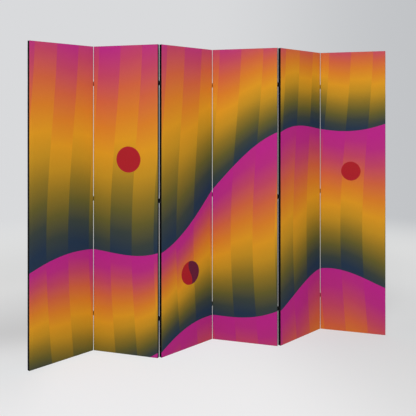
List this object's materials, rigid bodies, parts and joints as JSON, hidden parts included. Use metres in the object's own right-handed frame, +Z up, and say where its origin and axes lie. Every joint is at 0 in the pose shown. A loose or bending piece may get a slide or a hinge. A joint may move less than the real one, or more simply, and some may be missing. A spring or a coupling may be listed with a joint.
{
  "type": "folding room divider",
  "caption": "Folding room divider of tall canvas panels on wooden frames, joined edge to edge by small butt hinges and standing in a zigzag.",
  "frame": {"origin": "centre of the footprint's bounding box, on the floor, with the screen standing in its zigzag", "axes": "+X along the screen from the viewer's left to right, -Y towards the viewer of the front canvases, +Z up"},
  "size_m": [2.149, 0.2166, 1.776],
  "materials": {
    "printed_canvas": "matt woven canvas, printed",
    "frame_wood": "planed bare pine",
    "edge_tape": "matt black woven tape",
    "hinge_steel": "satin black lacquer",
    "pin_steel": "satin black lacquer",
    "screw_steel": "black phosphated steel"
  },
  "bodies": {
    "panel_1": {"panel_1_stiles": "frame_wood", "panel_1_rails": "frame_wood", "panel_1_front_canvas": "printed_canvas", "panel_1_back_canvas": "printed_canvas", "panel_1_edge_tape": "edge_tape", "fold_1_2_left_leaves": "hinge_steel", "fold_1_2_pins": "pin_steel", "fold_1_2_left_screws": "screw_steel"},
    "panel_2": {"panel_2_stiles": "frame_wood", "panel_2_rails": "frame_wood", "panel_2_front_canvas": "printed_canvas", "panel_2_back_canvas": "printed_canvas", "panel_2_edge_tape": "edge_tape", "fold_1_2_right_leaves": "hinge_steel", "fold_1_2_right_screws": "screw_steel", "fold_2_3_left_leaves": "hinge_steel", "fold_2_3_pins": "pin_steel", "fold_2_3_left_screws": "screw_steel"},
    "panel_3": {"panel_3_stiles": "frame_wood", "panel_3_rails": "frame_wood", "panel_3_front_canvas": "printed_canvas", "panel_3_back_canvas": "printed_canvas", "panel_3_edge_tape": "edge_tape", "fold_2_3_right_leaves": "hinge_steel", "fold_2_3_right_screws": "screw_steel", "fold_3_4_left_leaves": "hinge_steel", "fold_3_4_pins": "pin_steel", "fold_3_4_left_screws": "screw_steel"},
    "panel_4": {"panel_4_stiles": "frame_wood", "panel_4_rails": "frame_wood", "panel_4_front_canvas": "printed_canvas", "panel_4_back_canvas": "printed_canvas", "panel_4_edge_tape": "edge_tape", "fold_3_4_right_leaves": "hinge_steel", "fold_3_4_right_screws": "screw_steel", "fold_4_5_left_leaves": "hinge_steel", "fold_4_5_pins": "pin_steel", "fold_4_5_left_screws": "screw_steel"},
    "panel_5": {"panel_5_stiles": "frame_wood", "panel_5_rails": "frame_wood", "panel_5_front_canvas": "printed_canvas", "panel_5_back_canvas": "printed_canvas", "panel_5_edge_tape": "edge_tape", "fold_4_5_right_leaves": "hinge_steel", "fold_4_5_right_screws": "screw_steel", "fold_5_6_left_leaves": "hinge_steel", "fold_5_6_pins": "pin_steel", "fold_5_6_left_screws": "screw_steel"},
    "panel_6": {"panel_6_stiles": "frame_wood", "panel_6_rails": "frame_wood", "panel_6_front_canvas": "printed_canvas", "panel_6_back_canvas": "printed_canvas", "panel_6_edge_tape": "edge_tape", "fold_5_6_right_leaves": "hinge_steel", "fold_5_6_right_screws": "screw_steel"}
  },
  "joints": [
    {"name": "fold_3_4", "type": "hinge", "parent": "panel_3", "child": "panel_4", "pos_m": [0, 0.09102, 0.888], "axis": [0, 0, -1], "range_deg": [-60, 120]},
    {"name": "fold_4_5", "type": "hinge", "parent": "panel_4", "child": "panel_5", "pos_m": [0.35862, -0.09102, 0.888], "axis": [0, 0, 1], "range_deg": [-60, 120]},
    {"name": "fold_5_6", "type": "hinge", "parent": "panel_5", "child": "panel_6", "pos_m": [0.71725, 0.09102, 0.888], "axis": [0, 0, -1], "range_deg": [-60, 120]},
    {"name": "fold_2_3", "type": "hinge", "parent": "panel_3", "child": "panel_2", "pos_m": [-0.35862, -0.09102, 0.888], "axis": [0, 0, -1], "range_deg": [-60, 120]},
    {"name": "fold_1_2", "type": "hinge", "parent": "panel_2", "child": "panel_1", "pos_m": [-0.71725, 0.09102, 0.888], "axis": [0, 0, 1], "range_deg": [-60, 120]}
  ]
}
